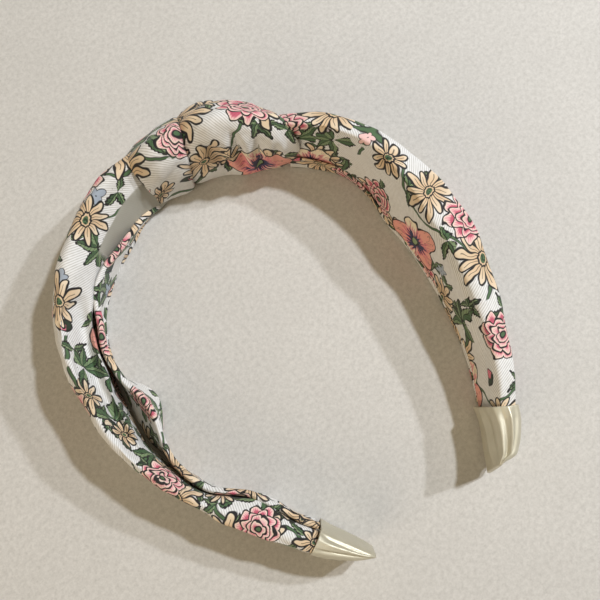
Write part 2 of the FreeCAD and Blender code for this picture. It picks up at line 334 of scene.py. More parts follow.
class Finish:
    """A node-based material, written as expressions."""

    def __init__(self, name):
        self.material = bpy.data.materials.new(name)
        self.material.use_nodes = True
        self.tree = self.material.node_tree
        self.tree.nodes.clear()

    def node(self, kind, values=None, out=0, **settings):
        made = self.tree.nodes.new(kind)
        for key, value in settings.items():
            setattr(made, key, value)
        for key, value in (values or {}).items():
            if isinstance(value, Wire):
                self.tree.links.new(value.socket, made.inputs[key])
            else:
                made.inputs[key].default_value = value
        outputs = made.outputs
        if isinstance(out, tuple):
            return [Wire(self, outputs[o]) for o in out]
        return Wire(self, outputs[out]) if len(outputs) else made

    def vector(self, operation, *values, out=0):
        values = dict(enumerate(values))
        return self.node("ShaderNodeVectorMath", values, out=out, operation=operation)

    def mix(self, share, under, over):
        # The mix node keeps its colours in inputs 6 and 7 and gives one at output 2.
        return self.node("ShaderNodeMix", {0: share, 6: under, 7: over}, out=2, data_type="RGBA")

    def cloth_map(self):
        """The place on the flat cloth, in millimetres."""
        cloth = self.node("ShaderNodeUVMap", uv_map="cloth")
        return self.node("ShaderNodeVectorMath", {0: cloth, "Scale": 1 / MM}, operation="SCALE")

    def noise(self, place, size, detail=2.0, rough=0.5, out=0, dimensions="3D"):
        values = {"Vector": place, "Scale": 1 / size, "Detail": detail, "Roughness": rough}
        return self.node("ShaderNodeTexNoise", values, out=out, noise_dimensions=dimensions)

    def close(self, colour, rough, normal, **constants):
        values = {"Base Color": colour, "Roughness": rough, "Normal": normal}
        for key, value in constants.items():
            values[key.replace("_", " ")] = value
        self.node("ShaderNodeOutputMaterial", {0: self.node("ShaderNodeBsdfPrincipled", values)})
        return self.material


WHITE_TWILL = tint(240, 239, 236)
WEFT_GREY = tint(194, 191, 184)
# The unprinted back is greyed as painted shade; the deeper tone below it is painted shade alone.
BACK_WITH_PAINTED_SHADE = tint(174, 172, 160)
DEEP_PAINTED_SHADE = tint(104, 103, 92)
INK = tint(22, 20, 22)
LEAF_PALE = tint(146, 166, 122)
LEAF_GREEN = tint(76, 106, 70)
LEAF_DEEP = tint(32, 52, 36)
PEACH = tint(240, 221, 192)
SAND = tint(226, 196, 158)
ROSE = tint(226, 124, 140)
DEEP_ROSE = tint(186, 74, 98)
BLUSH = tint(246, 204, 198)
CORAL = tint(240, 168, 152)
CREAM = tint(248, 232, 204)
NAVY = tint(42, 48, 84)
DUSTY_BLUE = tint(166, 176, 188)


class Print(Finish):
    """Printed cotton twill: scattered drawn flowers, each placed by its own cell of the cloth."""

    def scatter(self, place, spacing, shift, uneven=0.6):
        """Polar places round scattered centres: radius, angle, the cell's two random numbers."""
        moved = self.vector("ADD", place, (shift, shift * 1.7, 0.0))
        cell, centre = self.node(
            "ShaderNodeTexVoronoi",
            {"Vector": moved, "Scale": 1 / spacing, "Randomness": uneven},
            out=("Color", "Position"),
            voronoi_dimensions="2D",
        )
        local = self.vector("SUBTRACT", moved, centre)
        x, y = self.node("ShaderNodeSeparateXYZ", {0: local}, out=(0, 1))
        first, second = self.node("ShaderNodeSeparateColor", {0: cell}, out=(0, 1))
        radius = self.vector("LENGTH", local, out=1)
        angle = y.math("ARCTAN2", x) + first * math.tau
        return radius, angle, first, second

    def petals(
        self, radius, angle, count, middle, length, width, chance=0.0, uneven=0.0, taper=0.0
    ):
        """A ring of oval petals of uneven reach.

        Gives how far inside the nearest petal a place is, its offset from the petal's spine,
        its share of the petal's length, and the petal's own number between -1 and 1.
        """
        turn = angle * (count / math.tau)
        whole = turn.math("FLOOR")
        spine = (turn - whole - 0.5) * (math.tau / count)
        fate = ((whole % count) * 2.7 + chance * 50.0).math("SINE")
        reach = fate * uneven + 1.0
        x, y = radius * spine.math("COSINE") / reach, radius * spine.math("SINE")
        share = (x - middle) / length
        sideways = y / (share * taper * width + width)
        oval = (share**2 + sideways**2).math("SQRT")
        slope = ((share / length) ** 2 + (sideways / width) ** 2).math("SQRT") + 0.02
        return (1 - oval) * oval.math("MAXIMUM", 0.5) / slope, y, share, fate

    def drawn(self, under, shape, fill, present, line=0.34):
        """A filled shape with an inked outline, over what is there already."""
        body = self.mix((shape + line).within() * present, under, INK)
        return self.mix((shape - line * 0.8).within() * present, body, fill)

    def hairline(self, under, distance, strength=1.0, width=0.15):
        """A thin inked line where the distance to it is small."""
        return self.mix((width - distance).within(0.14) * strength, under, INK)

    def leaves(self, colour, place, spacing, shift, count, middle, length, width, rare):
        """Sprigs of pointed leaves, some missing, with a vein, a paler half and toothed edges."""
        radius, angle, first, second = self.scatter(place, spacing, shift)
        shape, spine, share, fate = self.petals(
            radius, angle, count, middle, length, width, first, uneven=0.28, taper=-0.45
        )
        shape = shape + (radius * 5.2 + fate * 3).math("SINE") * 0.16 - (fate < -0.45) * 9
        tone = self.mix((fate * 0.5 + second - 0.5).within(0.6), LEAF_DEEP, LEAF_GREEN)
        tone = self.mix((spine - 0.15).within(0.3) * 0.7, tone, LEAF_PALE)
        side_vein = abs((share * length - abs(spine) * 1.1) / 1.25 % 1.0 - 0.5) * 1.25
        tone = self.hairline(tone, side_vein, 0.8, 0.09)
        tone = self.hairline(tone, abs(spine), 0.9)
        return self.drawn(colour, shape, tone, second > rare)

    def daisies(self, colour, place, spacing, shift, petals, middle, length, width, rare):
        """Daisies with many slender petals round a stippled eye."""
        radius, angle, first, second = self.scatter(place, spacing, shift, 0.5)
        grown = radius / (second * 0.3 + 0.8)
        shape, spine, share, fate = self.petals(
            grown, angle, petals, middle, length, width, first, uneven=0.13, taper=0.28
        )
        tone = self.mix((0.25 - share + fate * 0.25).within(1.3), PEACH, SAND)
        tone = self.hairline(tone, abs(spine), (share < 0.35) * 0.9, 0.10)
        colour = self.drawn(colour, shape, tone, first > rare)
        stipple = self.noise(place, 0.7, detail=0.0, dimensions="2D")
        eye = self.mix((stipple - 0.5).within(0.1), LEAF_GREEN, LEAF_DEEP)
        eye = self.mix((grown - middle * 0.24).within(0.3), eye, SAND)
        ruffle = (angle * 9).math("SINE") * 0.12
        return self.drawn(colour, middle * 0.38 + ruffle - grown, eye, first > rare)

    def peonies(self, colour, place, spacing, shift, rare):
        """Full ruffled blooms: frills within frills, pale at every rim."""
        radius, angle, first, second = self.scatter(place, spacing, shift, 0.4)
        size = second * 0.25 + 0.85
        wave = self.noise(place, 3.0, detail=0.0, dimensions="2D") * 2.2 - 1.1
        for reach, count in ((8.6, 9), (6.6, 8), (4.7, 6), (2.9, 5)):
            lobe = abs((angle * (count / 2) + reach * 1.9).math("SINE"))
            shape = (lobe * 0.22 + 0.80) * size * reach + wave - radius
            fray = abs((angle * (count * 3.5)).math("SINE"))
            tone = self.mix((shape - 0.75 - fray * 0.7).within(1.0), BLUSH, ROSE)
            tone = self.mix((shape - 1.9 + first * 0.5).within(0.5) * 0.75, tone, DEEP_ROSE)
            tone = self.mix((0.55 - shape).within(0.3) * 0.6, tone, CREAM)
            tone = self.hairline(tone, fray * radius * 0.3, ((shape > 0.4) * 0.7), 0.10)
            colour = self.drawn(colour, shape, tone, first > rare)
        return self.drawn(colour, 1.05 - radius, LEAF_GREEN, first > rare)

    def poppies(self, colour, place, spacing, shift, rare):
        """Broad open blooms, pale at the rim, with a dark streaked throat."""
        radius, angle, first, _ = self.scatter(place, spacing, shift, 0.3)
        ruffle = (angle * 13).math("SINE") * 0.25 + (angle * 8 + first * 9).math("SINE") * 0.35
        shape, _, _, fate = self.petals(
            radius - ruffle, angle, 5, 6.0, 6.4, 5.0, first, uneven=0.12, taper=0.15
        )
        rays = self.node("ShaderNodeCombineXYZ", {0: angle * 5.5, 1: radius * 0.15})
        streak = self.node(
            "ShaderNodeTexNoise", {"Vector": rays, "Scale": 1.0}, noise_dimensions="2D"
        )
        tone = self.mix((fate + 0.1).within(0.2), CREAM, CORAL)
        tone = self.mix((streak * 7 - radius * 0.42 - 0.55).within(1.0) * 0.85, tone, ROSE)
        tone = self.mix((streak * 8 - radius * 0.62 - 1.3).within(0.4), tone, NAVY)
        tone = self.hairline(tone, abs(streak - 0.56) * 9, (radius > 5) * 0.5)
        colour = self.drawn(colour, shape, tone, first > rare)
        return self.drawn(colour, 1.5 - radius, LEAF_PALE, first > rare)

    def build(self):
        flat = self.cloth_map()
        wobble = self.noise(flat, 7.0, detail=1.0, out=1, dimensions="2D")
        drift = self.vector("SUBTRACT", wobble, (0.5, 0.5, 0.5))
        shaken = self.vector("MULTIPLY_ADD", drift, (3.4, 3.4, 0.0), flat)
        x, y = self.node("ShaderNodeSeparateXYZ", {0: flat}, out=(0, 1))
        speck = self.noise(flat, 1.6, detail=2.0, dimensions="2D")
        patch = self.noise(flat, 9.0, detail=1.0, dimensions="2D")

        # The ground: white twill with a fine slanting rib.
        rib = abs((x + y * 0.9) / 1.05 % 1.0 - 0.5) * 2
        thread = rib + (speck - 0.5) * 0.5
        ground = self.mix((thread - 0.60).within(0.35) * 0.75, WHITE_TWILL, WEFT_GREY)

        # Thin wandering stems.
        bend = self.noise(shaken, 30.0, detail=0.0, dimensions="2D")
        stem = 0.011 - abs(bend - 0.5)
        here = (patch - 0.40).within(0.03)
        colour = self.mix((stem * 44 + 0.22).within(0.3) * here, ground, INK)
        colour = self.mix((stem * 44 - 0.08).within(0.3) * here, colour, LEAF_GREEN)

        # Leaves, small flowers and buds, then the daisies, and the two full blooms on top.
        colour = self.leaves(colour, shaken, 12.0, 5.0, 5, 2.9, 2.9, 1.15, 0.46)
        colour = self.leaves(colour, shaken, 21.0, 61.0, 7, 5.0, 4.4, 1.7, 0.40)
        radius, angle, first, second = self.scatter(shaken, 14.0, 37.0)
        shape = self.petals(radius, angle, 5, 1.6, 1.5, 1.0, first, uneven=0.2)[0]
        tone = self.mix((first - 0.5).within(0.05), DUSTY_BLUE, BLUSH)
        colour = self.drawn(colour, shape, tone, second > 0.76, 0.13)
        radius, angle, _, second = self.scatter(shaken, 19.0, 143.0)
        shape, spine, share, _ = self.petals(radius, angle, 1, 2.2, 3.2, 1.9, taper=-0.3)
        tone = self.mix((second - 0.8).within(0.02), PEACH, ROSE)
        tone = self.mix((-0.25 - share + abs(spine) * 0.2).within(0.2), tone, LEAF_DEEP)
        tone = self.hairline(tone, abs(abs(spine) - 0.65), 0.7, 0.07)
        colour = self.drawn(colour, shape, tone, second > 0.60)
        colour = self.daisies(colour, shaken, 19.0, 117.0, 9, 3.7, 2.9, 1.05, 0.62)
        colour = self.daisies(colour, shaken, 25.0, 90.0, 11, 5.6, 4.4, 1.36, 0.20)
        colour = self.peonies(colour, shaken, 36.0, 171.0, 0.30)
        colour = self.poppies(colour, shaken, 58.0, 260.0, 0.35)

        # The unprinted back, greyed as painted shade and darkened further by painted shade where
        # the attribute runs above 1, and the light wear of handling.
        bare_and_shade = self.node("ShaderNodeAttribute", out=2, attribute_name="bare_and_shade")
        back = self.mix((thread - 0.5).within(0.5) * 0.25, BACK_WITH_PAINTED_SHADE, tint(160, 154, 140))
        # Painted shade: where the attribute runs above 1, the back darkens towards the deep shade
        # tone.
        back = self.mix((bare_and_shade - 1.5).within(1.0), back, DEEP_PAINTED_SHADE)
        colour = self.mix((bare_and_shade - 0.5).within(1.0), colour, back)
        colour = self.mix((patch - 0.55).within(0.5) * 0.06, colour, tint(150, 138, 120))
        lift = rib * 0.5 + speck * 0.35
        bump = self.node("ShaderNodeBump", {"Strength": 0.22, "Distance": 0.00012, "Height": lift})
        rough = 0.66 + speck * 0.16
        shine = {"Sheen_Weight": 0.12, "Sheen_Roughness": 0.5, "Specular_IOR_Level": 0.32}
        return self.close(colour, rough, bump, **shine)


def satin():
    """Champagne satin, smooth along the strip and finely ribbed across it."""
    self = Finish("champagne_satin")
    flat = self.cloth_map()
    y = self.node("ShaderNodeSeparateXYZ", {0: flat}, out=1)
    stretched = self.vector("MULTIPLY", flat, (0.25, 1.0, 1.0))
    streak = self.noise(stretched, 0.8, detail=3.0)
    cloud = self.noise(flat, 6.0)
    colour = self.mix(cloud * 0.6 + streak * 0.3, tint(186, 179, 154), tint(216, 211, 192))
    thread = (y * math.tau / 0.22).math("SINE") * 0.5 + streak
    bump = self.node("ShaderNodeBump", {"Strength": 0.12, "Distance": 0.00008, "Height": thread})
    rough = 0.36 + streak * 0.12
    return self.close(colour, rough, bump, Metallic=0.45, Sheen_Weight=0.1, Specular_IOR_Level=0.5)


def hoop_plastic():
    """Milky moulded plastic, a little uneven where the strip was cut and bent."""
    self = Finish("hoop_plastic")
    place = self.node("ShaderNodeTexCoord", out=3)
    cloud = self.noise(place, 0.012, detail=3.0)
    grain = self.noise(place, 0.0009, detail=2.0)
    colour = self.mix(cloud, tint(214, 210, 200), tint(232, 230, 224))
    bump = self.node("ShaderNodeBump", {"Strength": 0.15, "Distance": 0.0001, "Height": grain})
    return self.close(colour, 0.38 + grain * 0.14, bump, Specular_IOR_Level=0.5)


printed = Print("printed_twill").build()
champagne = satin()
plastic = hoop_plastic()
for material_slot in frame["nodes"]["hoop_crown"].material_slots:
    material_slot.material = plastic

# ---------------- the left sleeve

STEPS = 10  # points from one corner of a sleeve's section to the next
RIDGE = 4 * STEPS

# distance, then offset and height of: crease, roll, groove, ridge, shoulder, outside
LEFT_SHAPE = (
    (6, (-3, 6), (-1, 15), (1.5, 22), (4, 27), (8, 25), (10.5, 15)),
    (-6, (-3.6, 3), (-0.9, 18.4), (2.0, 24.5), (4.6, 28), (8.4, 26.8), (14.5, 13.5)),
    (-14, (-3.1, 6), (-1.3, 19.6), (1.6, 24.5), (5.2, 28.5), (9.0, 27.2), (15.5, 13)),
    (-24, (-3.1, 10), (-1.3, 18.6), (1.2, 23.5), (5, 28.5), (8.4, 27.2), (14.6, 13)),
    (-34, (-2.4, 13), (-1.6, 19), (0.8, 24.5), (4.8, 28.5), (7.9, 27.2), (13.9, 13)),
    (-44, (-1.4, 12), (-1.9, 19.5), (0.7, 25.5), (4.6, 28.4), (7.8, 27.1), (13.5, 13)),
    (-54, (-0.4, 11), (-1.9, 18.5), (1.5, 19.8), (4.4, 28), (7.5, 26.7), (12.7, 13)),
    (-64, (-0.8, 11), (-2.4, 18.6), (1.5, 16.8), (4.1, 27.6), (7.2, 26.4), (11.9, 13)),
    (-74, (-1.8, 11), (-3.2, 18.6), (1.0, 16.4), (3.3, 27), (6.3, 25.8), (10.5, 13)),
    (-84, (-2.0, 11), (-2.4, 18.4), (0.9, 16.2), (2.8, 26.4), (5.2, 25.3), (8.9, 13)),
    (-94, (-0.7, 11), (-1.1, 18), (1.5, 17.2), (3.3, 25.7), (5.8, 24.6), (9.0, 13)),
    (-104, (1.3, 11), (1.0, 17.8), (2.6, 18.6), (4.2, 24.5), (6.2, 23.4), (8.7, 12.5)),
    (-117, (2.2, 11), (2.3, 17.2), (3.5, 19.9), (4.8, 23.1), (6.7, 22.0), (8.7, 12)),
    (-130, (4.2, 10.5), (3.1, 16), (4.2, 19), (5.6, 21.7), (7.6, 20.6), (9.4, 12)),
    (-138, (2.0, 11), (0.6, 16.5), (2.5, 19.2), (5.2, 21.2), (8.3, 20.1), (10.2, 11.5)),
    (-147, (-1.2, 11), (-1.9, 16.5), (0.6, 19), (4.1, 20.8), (7.7, 19.7), (9.5, 11.5)),
    (-160, (-0.3, 11), (-0.7, 16.4), (1.0, 18.8), (3.4, 20.2), (6.3, 19.1), (8.0, 11)),
    (-167, (-0.7, 11), (-1.1, 16.2), (0.4, 18.4), (2.6, 19.8), (5.3, 18.7), (7.0, 11)),
    (-173, (-0.5, 11), (0, 14.5), (1, 16.8), (2.2, 17.8), (4, 16), (5, 10)),
)


# start and end of each fold (distance, and cloth outwards from the ridge), width and rise
LEFT_FOLDS = (
    ((-8, 2), (-34, 6), 1.6, -0.3),
    ((-16, 9), (-48, 4), 2.0, 0.35),
    ((-57, 9), (-72, 3), 1.3, -0.5),
    ((-66, -4), (-88, 1), 1.2, -0.6),
    ((-72, 8), (-95, 5), 2.2, 0.45),
    ((-92, -2), (-112, 5), 1.1, -0.5),
    ((-105, 7), (-121, 2), 1.4, 0.35),
    ((-122, 6), (-141, 1), 1.1, -0.35),
    ((-140, 6), (-160, 2), 1.2, 0.3),
    ((-152, 1), (-166, 4), 0.8, -0.3),
    ((-158, 7), (-168, 8), 0.9, -0.25),
)


def sleeve_rows(table, loops, distance):
    """A sleeve's rows of points, and the length of cloth round each of them."""
    loops = rounded(along([row[0] for row in table], loops, distance), STEPS)
    return laid_out(distance, loops), girth(loops, RIDGE)


def left_cover():
    loops = []
    for _, crease, roll, groove, ridge, shoulder, outside in LEFT_SHAPE:
        deep = (crease[0] + 0.9, 0.3 * crease[1] - 0.6)
        bend = (
            0.78 * shoulder[0] + 0.22 * outside[0] - 0.1,
            0.78 * shoulder[1] + 0.22 * outside[1],
        )
        low, foot, heel = (outside[0] - 1.2, 4), (outside[0] - 4.2, 0.5), (crease[0] + 3.2, 0.5)
        loops.append((deep, crease, roll, groove, ridge, shoulder, bend, outside, low, foot, heel))
    distance = np.arange(-173, 4.01, ROW_STEP)
    grid, across = sleeve_rows(LEFT_SHAPE, loops, distance)
    d, a = distance[:, None], across[:, :-1]
    move = ripple(d, a, 11, 17, 0.22) + ripple(d, a, 12, 7, 0.07)
    move = move + step_down(d, a, (-61, 6), (-50, -8), 1.7, 0.35, 7)
    grid = pushed(grid, creased(d, a, move, LEFT_FOLDS), fade=4)

    # The unprinted triangle beside the knot, grey with painted shade that deepens towards the
    # ring's inside.
    column = np.arange(grid.shape[1])[None, :] / STEPS
    near_knot = np.clip((d + 35) / 2, 0, 1)
    slope = np.clip((2.3 - column) / 0.1, 0, 1) * np.clip((column - 0.3) / 0.3, 0, 1)
    painted_shade = np.clip((-14 - d) / 18, 0, 1) * np.clip((1.9 - column) / 1.4, 0, 1)
    # Above 1, the attribute carries the painted shade.
    bare_and_shade = near_knot * slope * (1 + painted_shade)
    down = distance * GATHER + CUT_FROM["left_sleeve"]
    return tube("left_sleeve", grid, down, across, printed, bare_and_shade)


STRIP_STEPS = 6
RIM = 5 * STRIP_STEPS

# distance, offset of the foot, height and offset of the rim
LEFT_STRIP = (
    (-5, -1.9, 4, -2.8),
    (-14, -2.4, 8.5, -3.5),
    (-22, -2.8, 12.5, -4.6),
    (-30, -2.6, 15.5, -4.6),
    (-38, -2.3, 18, -3.3),
    (-46, -1.2, 18.8, -2.7),
    (-52, 0.4, 18.8, -3.2),
    (-58, 1.2, 18.6, -4.2),
    (-67, 0.1, 18.6, -4.6),
    (-74, -1.0, 18.4, -5.3),
    (-79, -3.6, 18.2, -6.4),
    (-84, -7.9, 18, -7.6),
    (-92, -10.5, 17.8, -9.3),
    (-99, -7.8, 17.6, -8.9),
    (-104, -3.8, 17.4, -7),
    (-110, 1.3, 17.2, -3.7),
    (-116, 1.9, 17, -0.9),
    (-124, 2.7, 16.8, 1.2),
    (-130, 4.9, 16.8, 1.7),
    (-137, 2.6, 17, -0.3),
    (-144, 0.9, 17.2, -2.5),
    (-152, -1.2, 17.2, -2.7),
    (-160, -0.3, 17.2, -2.2),
    (-167.6, -1.2, 17, -2.4),
)


def strip_loops(rows, distance, trough=None, rim=1.15, sheet=0.36):
    """The lining's section: a standing sheet with its turned edge as a small roll on top.

    Behind the roll the cloth goes down into a trough, to the offset where it meets the sleeve.
    """
    foot, height, top = read_off(rows, distance).T
    trough = foot + 2 * sheet if trough is None else np.maximum(trough, top + 0.8 * rim)
    roll = np.minimum(rim, height * 0.3)
    body = height - 2.6 * roll
    section = (
        (foot - sheet, 0 * foot + 0.6),
        (foot + 0.4 * (top - foot) - sheet, 0.4 * body),
        (foot + 0.85 * (top - foot) - sheet, 0.9 * body),
        (top - roll, body + 0.9 * roll),
        (top - 0.75 * roll, height - 0.55 * roll),
        (top, height),
        (top + 0.8 * roll, height - 0.7 * roll),
        (top + 0.7 * roll + 0.1 * (trough - top), body + 0.6 * roll),
        (top + 0.55 * (trough - top) + sheet, 0.62 * body),
        (trough - 0.2, 0.3 * body),
        (trough, 0.12 * body + 0.5),
        (trough - 0.4, 0 * foot + 0.35),
    )
    return rounded(np.moveaxis(np.array(section), 2, 0), STRIP_STEPS)


def left_lining():
    distance = np.arange(-167.6, -5, ROW_STEP)
    crease = [row[1][:1] for row in LEFT_SHAPE]
    wall = along([row[0] for row in LEFT_SHAPE], crease, distance)[:, 0]
    loops = strip_loops(LEFT_STRIP, distance, wall - 0.5)
    grid = laid_out(distance, loops)
    side = ripple(distance[:, None], grid[..., 2], 21, 15, 0.16)
    grid[..., 0] += side
    grid[..., 1] += side
    down = distance + CUT_FROM["left_lining"]
    return tube("left_lining", grid, down, girth(loops, RIM), printed)


# ---------------- the right sleeve

# distance, offsets of the inner foot, inner shoulder, shoulder and outside, height
RIGHT_SHAPE = (
    (38, -2.2, -1.0, 3.5, 8.6, 26.0),
    (48, -2.6, -0.8, 4.8, 10.6, 28.2),
    (55, -2.4, -0.4, 5.9, 12.0, 29.5),
    (62, -1.6, 0.1, 7.1, 13.4, 30.4),
    (70, -0.4, 0.9, 7.7, 14.1, 30.8),
    (78, 0.0, 1.2, 8.6, 14.8, 30.7),
    (88, -2.0, 0.2, 9.8, 15.9, 30.2),
    (98, -4.2, -1.2, 10.6, 16.5, 29.6),
    (108, -3.9, -1.8, 11.0, 17.0, 28.8),
    (118, -3.5, -2.0, 11.4, 17.0, 27.6),
    (128, -3.2, -1.8, 10.3, 15.4, 26.6),
    (140, -2.7, -1.4, 9.0, 13.3, 25.4),
    (150, -1.8, -0.7, 8.2, 11.8, 24.2),
    (160, -1.3, -0.3, 7.6, 10.5, 22.8),
    (168, -1.1, 0.0, 6.9, 9.3, 21.6),
    (174, -1.0, 0.0, 6.2, 8.4, 20.5),
    (180, -0.6, 0.2, 4.8, 6.4, 19.2),
)


RIGHT_FOLDS = (
    ((50, -6), (74, 2), 1.5, -0.45),
    ((52, 4), (80, 9), 2.2, 0.4),
    ((70, -9), (98, -4), 2.4, 0.4),
    ((95, -3), (120, -10), 2.4, -0.45),
    ((118, -2), (160, -4), 1.3, -0.55),
    ((112, 3), (150, 1), 2.2, 0.4),
    ((134, -8), (170, -8), 1.4, -0.5),
    ((140, 7), (172, 9), 1.6, -0.3),
    ((150, 1), (174, 0), 1.0, 0.3),
)


def right_cover():
    loops = []
    for _, foot, inner, shoulder, outer, height in RIGHT_SHAPE:
        middle = inner + 0.26 * (shoulder - inner)
        loops.append(
            (
                (foot, 2.0),
                (foot + 0.35 * (inner - foot), 0.42 * height),
                (inner, 0.78 * height),
                (inner + 0.08 * (shoulder - inner), 0.92 * height),
                (middle, height),
                (shoulder, 0.92 * height),
                (shoulder + 0.22 * (outer - shoulder) - 0.1, 0.81 * height),
                (outer, 0.44 * height),
                (outer - 1.3, 4.5),
                (outer - 4.5, 0.5),
                (foot + 2.4, 0.5),
            )
        )
    distance = np.arange(38, 180.01, ROW_STEP)
    grid, across = sleeve_rows(RIGHT_SHAPE, loops, distance)
    d, a = distance[:, None], across[:, :-1]
    move = ripple(d, a, 31, 22, 0.26) + ripple(d, a, 32, 8, 0.06)
    grid = pushed(grid, creased(d, a, move, RIGHT_FOLDS), fade=4)
    down = distance * GATHER + CUT_FROM["right_sleeve"]
    return tube("right_sleeve", grid, down, across, printed)


def crown_sleeve():
    """The cover where it passes through the knot."""
    distance = np.arange(3.0, 40.01, 1.5)
    corners = [(-2.8, 4), (-2.6, 12), (-2, 20), (0.5, 21), (3.5, 20), (5.4, 12), (4.8, 5), (1, 3.4)]
    loops = rounded(np.repeat([corners], len(distance), axis=0).astype(float), STRIP_STEPS)
    grid = laid_out(distance, loops)
    return tube("crown_sleeve", grid, distance, girth(loops, 2 * STRIP_STEPS), printed)


# distance, offset of the foot, height and offset of the rim
RIGHT_STRIP = (
    (51.5, -3.1, 9.4, -3.3),
    (62, -1.9, 8.6, -2.0),
    (72, -0.5, 6.0, -0.6),
    (84, -1.6, 3.4, -1.5),
    (98, -4.4, 3.0, -4.3),
    (110, -3.9, 3.0, -3.8),
    (130, -3.3, 3.0, -3.2),
    (155, -1.7, 3.0, -1.6),
    (174.5, -0.9, 2.6, -0.8),
)


def right_lining():
    distance = np.arange(51.5, 174.5, 0.9)
    loops = strip_loops(RIGHT_STRIP, distance, rim=0.5, sheet=0.25)
    down = distance + CUT_FROM["right_lining"]
    return tube("right_lining", laid_out(distance, loops), down, girth(loops, RIM), printed)


# ---------------- the hoop

# distance, offset of the middle, heights of the lower and upper edge
LEFT_HOOP = (
    (-4, 2.4, 4.4, 18.4),
    (-24, 3.2, 4.4, 18.4),
    (-60, 3.4, 4.4, 17.6),
    (-80, 2.6, 4.3, 17.2),
    (-94, 3.2, 4.2, 16.6),
    (-116, 5.4, 4.0, 15.6),
    (-130, 6.0, 3.9, 15.0),
    (-145, 3.4, 3.8, 14.6),
    (-160, 2.7, 3.7, 14.2),
    (-176, 1.9, 3.6, 13.6),
)
RIGHT_HOOP = (
    (44, 2.0, 4.4, 18.4),
    (55, 2.8, 4.4, 18.4),
    (78, 4.2, 4.4, 18.0),
    (100, 3.6, 4.2, 17.0),
    (130, 3.6, 3.9, 15.6),
    (160, 3.4, 3.7, 14.4),
    (183, 2.9, 3.6, 13.6),
)


def hoop_strip(name, rows, half=HOOP_HALF, corner=0.5):
    """One arm of the springy strip, its edges a little rounded, hidden in its sleeve."""
    distance = np.linspace(rows[0][0], rows[-1][0], 90)
    middle, low, high = read_off(rows, distance).T
    section = (
        (middle - half, low + corner),
        (middle - half, 0.5 * (low + high)),
        (middle - half, high - corner),
        (middle - half + corner, high),
        (middle + half - corner, high),
        (middle + half, high - corner),
        (middle + half, 0.5 * (low + high)),
        (middle + half, low + corner),
        (middle + half - corner, low),
        (middle - half + corner, low),
    )
    loops = np.moveaxis(np.array(section), 2, 0)
    return tube(name, laid_out(distance, loops), distance, girth(loops, 0), plastic)


# ---------------- the knot

# Sections of a loop of cloth, each at a share of the loop's length: offsets and heights of its
# foot inside, inner side, inner shoulder, crest, outer shoulder, outside, foot outside and sole.
LOBE = (
    (0.0, (-2.4, 1.3), (-3.2, 12), (-1.8, 21), (3, 27.2),
     (8.4, 25), (13.7, 14.5), (11.6, 4), (4, 0.5)),
    (0.25, (-3.4, 1.3), (-4.4, 13.5), (-3.8, 25.5), (2.2, 31.8),
     (7.3, 28.4), (13.8, 16), (12.2, 4), (4, 0.4)),
    (0.5, (-4.4, 1.3), (-5.3, 14), (-4.6, 28), (1.8, 34.2),
     (6.9, 30.2), (14, 16.5), (12.6, 4), (4, 0.4)),
    (0.8, (-5.3, 1.3), (-5.9, 14), (-4.9, 28), (2.0, 33.8),
     (8.9, 28.8), (15.8, 16.5), (13.2, 4), (4, 0.4)),
    (1.0, (-5.0, 1.3), (-5.5, 13.5), (-4.6, 25.6), (2.3, 31.5),
     (9.0, 28.2), (15.8, 16.5), (13, 4), (4, 0.5)),
)
LOBE_LEFT = (-4.8, -5.0, -5.2, -5.2, -4.6, -4.2, -4.2, -4.6)
LOBE_RIGHT = (11.6, 12.4, 13.8, 15.2, 16.2, 16.6, 16.0, 13.5)
WRAP = (
    (0.0, (-3.8, 1.3), (-4.2, 12.8), (-3.6, 23.4), (2.8, 29.3),
     (8.6, 26.8), (15.4, 15.5), (12, 4), (4, 0.5)),
    (0.14, (-4.5, 1.3), (-5.5, 13.5), (-5.2, 27.5), (2.0, 34),
     (9.4, 29.6), (16.8, 16.5), (13.2, 4), (4, 0.4)),
    (0.34, (-5.2, 1.3), (-6.2, 14), (-5.2, 29.5), (1.2, 36),
     (9.2, 31), (17, 17), (13.6, 4), (4, 0.4)),
    (0.6, (-6.6, 1.3), (-6.8, 13.5), (-5.6, 27.5), (0.6, 34.8),
     (7.2, 29.6), (14.5, 16.5), (12.4, 4), (4, 0.4)),
    (0.8, (-5.2, 1.3), (-6.0, 12.5), (-5.0, 24.5), (0.6, 32.4),
     (6.0, 28), (12.4, 16), (11, 4), (4, 0.4)),
    (1.0, (-3.2, 1.3), (-3.5, 11.5), (-2.8, 21.5), (0.8, 29.6),
     (4.6, 26.2), (10.1, 15), (9, 4), (3.4, 0.5)),
)
WRAP_LEFT = (10.6, 11.4, 12.4, 13.8, 14.8, 15.4, 15.0, 12.8)
WRAP_RIGHT = (50.5, 54.0, 55.0, 50.5, 47.4, 46.2, 46.4, 47.6)
LOOP_STEPS = 14
INNER_ROWS = slice(6, -6, 4)  # the rows of the outer layer that the inner layer follows back


